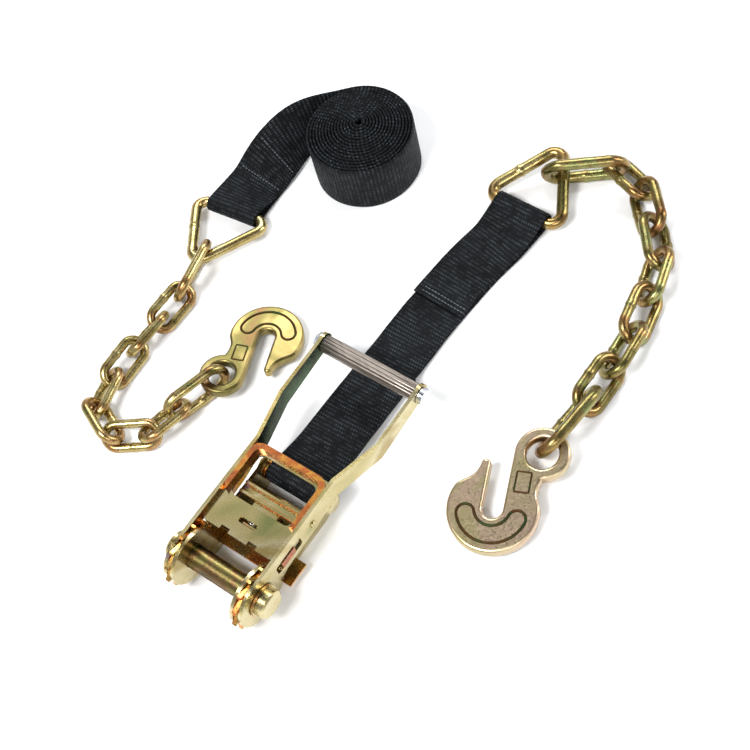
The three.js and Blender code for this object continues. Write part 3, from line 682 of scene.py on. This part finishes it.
def fixed_plan():
    """The middle line of the fixed strap as seen from above."""
    ring = RINGS["short"]
    out = flat_direction(math.degrees(RATCHET_HEADING))
    into = flat_direction(ring["heading"])
    anchor = Vector((SPINDLE.x, SPINDLE.y, 0)) + out * ANCHOR_REACH
    target = place(*ring["at"])
    target.z = 0
    chord = target - anchor
    beside = Vector((-chord.y, chord.x, 0)).normalized()
    # The strap leaves both ends straight and bows to one side between them.
    leaving, arriving = anchor + out * 12 * MM, target - into * 12 * MM
    bows = ((0.3, 5), (0.55, 8.5), (0.78, 6))
    middle = [anchor + chord * share + beside * bow * MM for share, bow in bows]
    through = [leaving, leaving + out * 16 * MM, *middle, arriving - into * 14 * MM, arriving]
    curve = [spline_point(through, i / 120) for i in range(121)]
    return Path([anchor, *curve, target])


def make_fixed_strap(materials):
    """The short strap: round the anchor sleeve, up to the ring, round it and back."""
    plan = fixed_plan()
    length = plan.length
    ring = RINGS["short"]
    # The height of the strap's middle at distances from the anchor.
    heights = [(9, 17.5), (24, 16.5), (60, 12), (105, 7), (150, 3.2), (200, 2.9), (255, 2.9), (285, 5)]
    profile = [Vector((s * MM, z * MM, 0)) for s, z in heights]
    profile.append(Vector((length - 6.6 * MM, 8.8 * MM, 0)))
    height_line = [spline_point(profile, i / 200) for i in range(201)]

    def middle_height(s):
        return float(numpy.interp(s, [p.x for p in height_line], [p.y for p in height_line]))

    def station(s, z):
        at, along = plan.at(min(max(s, 0.0), length))
        at = at + along * (s - min(max(s, 0.0), length))
        return Vector((at.x, at.y, z)), Vector((-along.y, along.x, 0))

    def run(start, end, offset, sideways=0.0):
        count = round(abs(end - start) / STATION_STEP)
        out = []
        for i in range(count + 1):
            s = start + (end - start) * i / count
            middle, wide = station(s, middle_height(s) + offset)
            out.append((middle + wide * sideways, wide))
        return out

    def loop(s, z, radius, start, end):
        angles = [math.radians(start + (end - start) * i / 20) for i in range(21)]
        return [station(s + radius * math.cos(a), z + radius * math.sin(a)) for a in angles]

    sleeve = SLEEVE_RADIUS + 0.5 * MM + WEB_THICK / 2
    wire = ring["wire"] / 2 * MM + RING_PLAY + WEB_THICK / 2
    height = ring["height"] * MM
    near_end, far_end = 128 * MM, length - 112 * MM
    near_meeting, far_meeting = 34 * MM, length - 32 * MM  # where the two layers come together
    stations = [
        *run(near_end, near_meeting, -LAYER),
        *[station(s * MM, z * MM) for s, z in ((22, 13.4), (12, 10.6))],
        *loop(0, ANCHOR_HEIGHT, sleeve, -75, -285),
        *[station(s * MM, z * MM) for s, z in ((12, 22.2), (22, 18.8))],
        *run(near_meeting, near_end, LAYER),
        *run(near_end + 8 * MM, far_end - 8 * MM, 0.0),
        *run(far_end, far_meeting, -LAYER),
        *[station(length - s * MM, z * MM) for s, z in ((22, 4.2), (12, 2.9))],
        *loop(length, height, wire, -100, 100),
        *[station(length - s * MM, z * MM) for s, z in ((12, 13.6), (22, 9.6))],
        *run(far_meeting, far_end, LAYER, 1.3 * MM),
    ]
    stations, band_length = spaced(eased(stations, 3), 1.6 * MM)
    strap = band("fixed_webbing", stations, band_length, "fixed_strap", materials["webbing"])
    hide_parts("fixed_strap")

    def top(s):
        middle, wide = station(s, middle_height(s) + LAYER)
        ahead, _ = station(s + MM, middle_height(s + MM) + LAYER)
        return middle, wide, (ahead - middle).normalized().cross(wide).normalized()

    rows = [length - d * MM for d in (17, 21, 25, 104, 108)]
    threads = stitch_rows("fixed_stitching", top, rows, "fixed_strap", materials["thread"])


def make_long_strap(materials):
    """The rolled strap, its lead that twists down flat, and the loop round its ring."""
    ring = RINGS["long"]
    into = flat_direction(ring["heading"])
    across = Vector((into.y, -into.x, 0))
    ring_at = place(*ring["at"])
    ring_at.z = ring["height"] * MM
    out = flat_direction(ROLL["leaving"])
    away = Vector((-out.y, out.x, 0))
    centre = place(*ROLL["centre"])
    radius, core = ROLL["radius"] * MM, ROLL["core"] * MM
    drift = Vector((*ROLL["drift"], 0)) * MM
    half = WEB_WIDTH / 2
    roll_height = half + 0.5 * MM

    turns = []
    steps = ROLL["turns"] * 60
    for i in range(steps):
        share = i / steps
        angle = math.radians(ROLL["leaving"]) - 2 * math.pi * ROLL["turns"] * (1 - share)
        reach = core + (radius - core) * share
        edge = 1.1 * MM * max(0.0, noise.noise(Vector((share * 9, 1, 0))) + 0.2) * (1 - share)
        at = centre + drift * (1 - share) + flat_direction(math.degrees(angle)) * reach
        turns.append((Vector((at.x, at.y, roll_height + edge)), Vector((0, 0, 1))))

    start = centre + out * radius
    start.z = 0
    end = Vector((ring_at.x, ring_at.y, 0)) - into * 6 * MM
    controls = (start, start + away * 45 * MM, end - into * 55 * MM, end)
    plan = Path([start, *bezier_points(*controls, 160)])
    length = plan.length
    clear = 2.6 * MM  # from the floor to the middle of the lead where it lies flat
    lead_end = length - 26 * MM

    def lead(s, offset):
        at, along = plan.at(s)
        t = s / length
        lean = math.pi / 2 * (1 - smoothstep(t, 0, 0.95))
        lying = smoothstep(t, 0.8, 1)
        rise = half * math.sin(lean) + clear + lying * (ring_at.z - clear)
        rise += (roll_height - half - clear) * (1 - smoothstep(t, 0, 0.3))
        wide = Vector((along.y, -along.x, 0)) * math.cos(lean) + Vector((0, 0, math.sin(lean)))
        up = wide.cross(along).normalized()
        return Vector((at.x, at.y, rise)) + up * offset, wide, up

    def by_ring(x, z):
        return ring_at + into * x + Vector((0, 0, z)), across

    def run(begin, stop, offset_at):
        count = round(abs(stop - begin) / STATION_STEP)
        distances = [begin + (stop - begin) * i / count for i in range(count + 1)]
        return [lead(s, offset_at(s))[:2] for s in distances]

    wire = ring["wire"] / 2 * MM + RING_PLAY + WEB_THICK / 2
    doubled = length - ROLL["overlap"] * MM
    angles = [math.radians(100 - 200 * i / 20) for i in range(21)]
    stations = [
        *turns,
        *run(2 * MM, lead_end, lambda s: LAYER * smoothstep(s, doubled - 14 * MM, doubled)),
        by_ring(-15 * MM, 4.0 * MM),
        *[by_ring(wire * math.cos(a), wire * math.sin(a)) for a in angles],
        by_ring(-15 * MM, -4.0 * MM),
        *run(lead_end, doubled, lambda s: -LAYER),
    ]
    stations, band_length = spaced(eased(stations, 3), 2.2 * MM)
    strap = band("rolled_webbing", stations, band_length, "long_strap", materials["webbing"])
    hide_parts("long_strap")
    threads = stitch_rows(
        "rolled_stitching", lambda s: lead(s, LAYER), [length - 34 * MM, length - 58 * MM],
        "long_strap", materials["thread"],
    )


# ---------------------------------------------------------------- rings, chains and hooks


def make_ring(side, materials):
    """A delta ring: three bends of round wire, with its weld in one leg."""
    spec = RINGS[side]
    corner = math.radians(30)
    bend, length = spec["bend"], spec["side"]
    apex = length * math.cos(corner) - bend / math.sin(corner)
    base = length / 2 - bend / math.tan(corner)
    third = math.radians(60)
    path = arc_path([
        (bend, bend, -base, -math.pi, -third),
        (bend, apex, 0, -third, third),
        (bend, bend, base, third, math.pi),
    ])
    leg = -1 if side == "long" else 1
    seam = Vector((length * 0.40, leg * length * 0.27, 0))
    weld = min(path, key=lambda point: (point - seam).length)
    matrix = turned(place(*spec["at"], spec["height"]), spec["heading"], -spec["tilt"])
    vertices, faces, bends = wire_loop(path, spec["wire"] / 2, matrix, [weld])
    node = f"delta_ring_{side}"
    piece = add_piece(f"ring_{side}", vertices, faces, materials["ring"], node)
    set_attribute(piece, "bend", bends)
    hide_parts(node)


def make_link(side, number, materials):
    """A round-wire link on its CAD node, with its weld in the middle of one leg."""
    node = f"{side}_link_{number}"
    middle, axes, extents = node_axes(node)
    along, across = axes[0], axes[1]
    normal = along.cross(across)
    matrix = Matrix.Translation(middle) @ Matrix((along, across, normal)).transposed().to_4x4()
    long_side, short_side, wire = (extent / MM for extent in extents)
    bow = (short_side - wire) / 2
    offset = (long_side - wire) / 2 - bow
    quarter = math.pi / 2
    path = arc_path([(bow, offset, 0, -quarter, quarter), (bow, -offset, 0, quarter, 3 * quarter)])
    weld = min(path, key=lambda point: (point - Vector((0, -bow, 0))).length)
    vertices, faces, bends = wire_loop(path, wire / 2 * ROUND_WIRE, matrix, [weld])
    piece = add_piece(node + "_wire", vertices, faces, materials[f"chain_{side}"], node)
    set_attribute(piece, "bend", bends)
    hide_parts(node)


# The hook at full scale, in millimetres: radii of the eye, its hole, the bowl, half the throat
# and the tip's end; the distance from eye to bowl; the tip's length; thickness and rounding.
HOOK = dict(
    eye=22, hole=13, reach=58, bowl=36.5, slot=8.2, tip_length=36, tip=3.8, thick=10.4, bevel=2.4,
)


def arc_points(centre, radius, start, end, steps=24):
    angles = [start + (end - start) * i / steps for i in range(steps + 1)]
    return [centre + Vector((radius * math.cos(a), radius * math.sin(a), 0)) for a in angles]


def hook_throat():
    """The angle by which the throat leans from the line between eye and bowl."""
    return math.asin((HOOK["eye"] + HOOK["slot"]) / HOOK["reach"])


def hook_outline():
    """Eye at the origin, bowl centre on +X, throat open towards -Y."""
    throat = hook_throat()
    quarter = math.pi / 2
    bowl, slot, tip = HOOK["bowl"], HOOK["slot"], HOOK["tip"]
    middle = Vector((HOOK["reach"], 0, 0))
    along = Vector((math.cos(throat), math.sin(throat), 0))
    across = Vector((-along.y, along.x, 0))

    def at(a, b):
        return middle + along * a + across * b

    points = arc_points(middle, slot, throat + quarter, throat - quarter)
    tip_at = at(-HOOK["tip_length"], -slot - tip)
    points += arc_points(tip_at, tip, throat + quarter, throat + 3 * quarter, 10)
    points += bezier_points(points[-1], at(-22, -18), at(-22, -29), at(-bowl * 0.42, -bowl * 0.91))
    points += arc_points(middle, bowl, throat + math.radians(-115), math.radians(130), 60)[1:]
    shoulder = math.radians(40)
    eye_start = Vector((math.cos(shoulder), math.sin(shoulder), 0)) * HOOK["eye"]
    points += bezier_points(points[-1], Vector((31, 24, 0)), Vector((31, 17.5, 0)), eye_start)
    eye_end = throat - quarter + 2 * math.pi
    points += arc_points(Vector((0, 0, 0)), HOOK["eye"], shoulder, eye_end, 60)[1:]
    return points


def closed_spline(data, points):
    spline = data.splines.new("POLY")
    spline.points.add(len(points) - 1)
    for slot, point in zip(spline.points, points):
        slot.co = (point.x * MM, point.y * MM, 0, 1)
    spline.use_cyclic_u = True


def hook_body(name):
    """The hook's outline with its eye, thick and rounded at the edges, in its own frame."""
    data = bpy.data.curves.new(name, "CURVE")
    data.dimensions = "2D"
    data.fill_mode = "BOTH"
    closed_spline(data, hook_outline())
    closed_spline(data, arc_points(Vector((0, 0, 0)), HOOK["hole"], 0, -2 * math.pi, 48)[:-1])
    data.extrude = (HOOK["thick"] / 2 - HOOK["bevel"]) * MM
    data.bevel_depth = HOOK["bevel"] * MM
    data.bevel_resolution = 4
    data.offset = -HOOK["bevel"] * MM
    temporary = bpy.data.objects.new(name + "_curve", data)
    bpy.context.scene.collection.objects.link(temporary)
    graph = bpy.context.evaluated_depsgraph_get()
    mesh = bpy.data.meshes.new_from_object(temporary.evaluated_get(graph))
    bpy.data.objects.remove(temporary)
    return mesh


def kidney_path():
    """The raised rim that follows the bowl, closed by two round ends."""
    throat = hook_throat()
    middle = Vector((HOOK["reach"], 0, 0))
    inner, outer, reach = 14.5, 28.5, math.radians(72)
    end = (outer - inner) / 2
    mean = (outer + inner) / 2
    first, second = throat - reach, throat + reach
    far = middle + Vector((mean * math.cos(second), mean * math.sin(second), 0))
    near = middle + Vector((mean * math.cos(first), mean * math.sin(first), 0))
    points = arc_points(middle, outer, first, second, 60)
    points += arc_points(far, end, second, second + math.pi, 12)[1:]
    points += arc_points(middle, inner, second, first, 50)[1:]
    points += arc_points(near, end, first + math.pi, first + 2 * math.pi, 12)[1:-1]
    return points


def frame_path():
    """A small blank frame on the shank."""
    throat = hook_throat()
    turn = Matrix.Rotation(throat, 3, "Z")
    middle = Vector((27.5, 4.5, 0))
    half_length, half_width, rounding = 7.6, 5, 0.8
    corners = []
    for start, (along, across) in enumerate(((1, 1), (-1, 1), (-1, -1), (1, -1))):
        corner = Vector((along * half_length, across * half_width, 0))
        begin, stop = start * math.pi / 2, (start + 1) * math.pi / 2
        corners += arc_points(corner, rounding, begin, stop, 4)
    return [middle + turn @ corner for corner in corners]


def make_hook(side, materials):
    """A forged grab hook with a raised rim and a blank frame on both faces, both dark with painted
    shade as of a sunken recess.
    """
    spec = HOOKS[side]
    matrix = turned(place(*spec["at"]), spec["heading"], spec["tilt"]) @ Matrix.Scale(spec["scale"], 4)
    material = materials[f"hook_{side}"]
    body = f"grab_hook_{side}"
    mesh = hook_body(f"forged_hook_{side}")
    mesh.transform(matrix)
    mesh.materials.clear()
    mesh.materials.append(material)
    for polygon in mesh.polygons:
        polygon.use_smooth = True
    mesh.set_sharp_from_angle(angle=math.radians(38))
    hook = bpy.data.objects.new(f"forged_hook_{side}", mesh)
    bpy.context.scene.collection.objects.link(hook)
    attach(hook, body)
    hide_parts(body)
    rim_radius, frame_radius, sunk = 1.25, 0.85, 0.15
    vertices, faces = [], []
    for face_side in (1, -1):
        for path, radius in ((kidney_path(), rim_radius), (frame_path(), frame_radius)):
            lift = Matrix.Translation(Vector((0, 0, face_side * (HOOK["thick"] / 2 - sunk) * MM)))
            rim, quads, _ = wire_loop(path, radius, matrix @ lift, sides=10)
            base = len(vertices)
            vertices += rim
            faces += [tuple(base + index for index in quad) for quad in quads]
    # The rims carry painted shade, dark as a sunken recess.
    add_piece(f"hook_rims_{side}", vertices, faces, materials["groove_painted_shade"], body)


# ---------------------------------------------------------------- ratchet


def make_grip(materials):
    """The fluted tube that the hand pulls."""
    middle, axes, extents = node_axes("handle_grip_tube")
    axis = axes[0]
    side = axis.cross(Vector((0, 0, 1))).normalized()
    up = side.cross(axis)
    radius = extents[1] / 2
    vertices, faces = [], []
    flutes, sides = 14, 14 * 10
    inner = 0.72  # the bore, as a share of the outer radius
    flute_depth = 0.12
    outside = [
        (-1, 0.86), (-1, 0.97), (-0.99, 1), (-0.5, 1), (0, 1),
        (0.5, 1), (0.99, 1), (1, 0.97), (1, 0.86),
    ]
    rings = [(-1, inner), *outside, (1, inner), (0.9, inner), (-0.9, inner)]
    for share, size in rings:
        for k in range(sides):
            angle = 2 * math.pi * k / sides
            ridge = flute_depth * abs(math.sin(flutes * angle / 2)) ** 0.4 if size > inner else 0.1
            reach = radius * size * (1 - flute_depth + ridge)
            offset = side * math.cos(angle) + up * math.sin(angle)
            vertices.append(middle + axis * share * extents[0] / 2 + offset * reach)
    count = len(rings)
    for i in range(count):
        for k in range(sides):
            a, b = i * sides + k, i * sides + (k + 1) % sides
            c, d = ((i + 1) % count) * sides + k, ((i + 1) % count) * sides + (k + 1) % sides
            faces.append((a, b, d, c))
    tube = add_piece("fluted_grip", vertices, faces, materials["grip"], "handle")
    tube.data.set_sharp_from_angle(angle=math.radians(35))
    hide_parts("handle_grip_tube")


def make_spring(node, body, joint_name, materials):
    """A coil of wire in the place of the CAD spring."""
    joint = JOINTS[joint_name]
    axis = Vector(joint["axis"]).normalized()
    points = [vertex.co for vertex in NODES[node].data.vertices]
    along = [point.dot(axis) for point in points]
    start, end = min(along), max(along)
    middle = (Vector(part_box(node)[0]) + Vector(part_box(node)[1])) / 2
    base = middle - axis * middle.dot(axis)
    side = axis.cross(Vector((0, 0, 1))).normalized()
    up = side.cross(axis)
    inset, wire, coils, steps, sides = 0.45 * MM, 0.42 * MM, 6, 150, 8
    radius = max((point - base - axis * point.dot(axis)).length for point in points) - inset
    vertices, faces = [], []
    for i in range(steps + 1):
        angle = 2 * math.pi * coils * i / steps
        outward = side * math.cos(angle) + up * math.sin(angle)
        centre = base + axis * (start + wire + (end - start - 2 * wire) * i / steps) + outward * radius
        for k in range(sides):
            turn = 2 * math.pi * k / sides
            vertices.append(centre + (outward * math.cos(turn) + axis * math.sin(turn)) * wire)
    for i in range(steps):
        for k in range(sides):
            a, b = i * sides + k, i * sides + (k + 1) % sides
            faces.append((a, a + sides, b + sides, b))
    faces.append(tuple(range(sides)))
    faces.append(tuple(steps * sides + k for k in range(sides))[::-1])
    spring = add_piece(node + "_coil", vertices, faces, materials["spring"], body)
    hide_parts(node)
    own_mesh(spring)


RATCHET_ALONG = Vector((math.cos(RATCHET_HEADING), math.sin(RATCHET_HEADING), 0))
RATCHET_ACROSS = Vector((-RATCHET_ALONG.y, RATCHET_ALONG.x, 0))

# The raised rim round the handle's window: its reach from the spindle, its half width and
# the height that only it stands above. Beyond ARM_START the two arms are on their own.
RIM_START, RIM_END, RIM_HALF_WIDTH, RIM_FLOOR = 48, 98, 35.5, 46.2
ARM_START = 96


def handle_region(middle, normal):
    """The raised rim is copper, the inner sides are amber and the inside of the left arm gets painted
    shade.
    """
    offset = middle - SPINDLE
    reach, across = offset.dot(RATCHET_ALONG) / MM, offset.dot(RATCHET_ACROSS) / MM
    facing = normal.dot(RATCHET_ACROSS)
    inner_side = abs(facing) > 0.5 and facing * across < 0
    # Region 4 is painted shade on the inside of the left arm.
    if reach > ARM_START and inner_side:
        return 4 if across > 0 else 0
    if middle.z > RIM_FLOOR * MM and RIM_START < reach < RIM_END and abs(across) < RIM_HALF_WIDTH:
        return 2
    if reach < RIM_END and inner_side:
        return 3
    return 0


def pawl_region(middle, normal):
    """The ears that show in the handle's slots are copper."""
    return 2 if abs((middle - SPINDLE).dot(RATCHET_ACROSS)) > 36 * MM else 0


def make_ratchet(materials):
    """Every CAD part of the ratchet with rounded edges, besides the grip and the springs."""
    plate = [materials["plate"], materials["edge"]]
    bodies = frame["record"]["behaviour"]["bodies"]
    made_here = {"handle_grip_tube", "drive_pawl_spring", "locking_pawl_spring"}
    bright = {"handle_grip_bolt", "handle_grip_nut"}
    for body in ("base", "handle", "drive_pawl", "locking_pawl", "spindle"):
        for node in bodies[body]:
            if node in made_here:
                continue
            if node in bright:
                bevelled_copy(node, body, [materials["bright"]], 0.3)
            elif node == "handle_frame":
                looks_of = plate + [materials[name] for name in ("rim", "inside", "arm_painted_shade")]
                bevelled_copy(node, body, looks_of, region=handle_region)
            elif node == "drive_pawl":
                looks_of = [*plate, materials["rim"]]
                bevelled_copy(node, body, looks_of, region=pawl_region)
            elif node.startswith("spindle_half"):
                bevelled_copy(node, body, [materials["spindle"], materials["edge"]])
            elif node.startswith(("ratchet_wheel", "locking_pawl")):
                looks_of = [materials["inside"], materials["edge"]]
                bevelled_copy(node, body, looks_of, 0.35)
            else:
                bevelled_copy(node, body, plate)
    make_grip(materials)
    make_spring("drive_pawl_spring", "handle", "drive_pawl_slide", materials)
    make_spring("locking_pawl_spring", "base", "locking_pawl_slide", materials)


# ---------------------------------------------------------------- the whole

make_camera()
make_stage()
looks = make_materials()
make_ratchet(looks)
make_fixed_strap(looks)
make_long_strap(looks)
for end in ("short", "long"):
    make_ring(end, looks)
    for number in range(1, 10):
        make_link(end, number, looks)
    make_hook(end, looks)
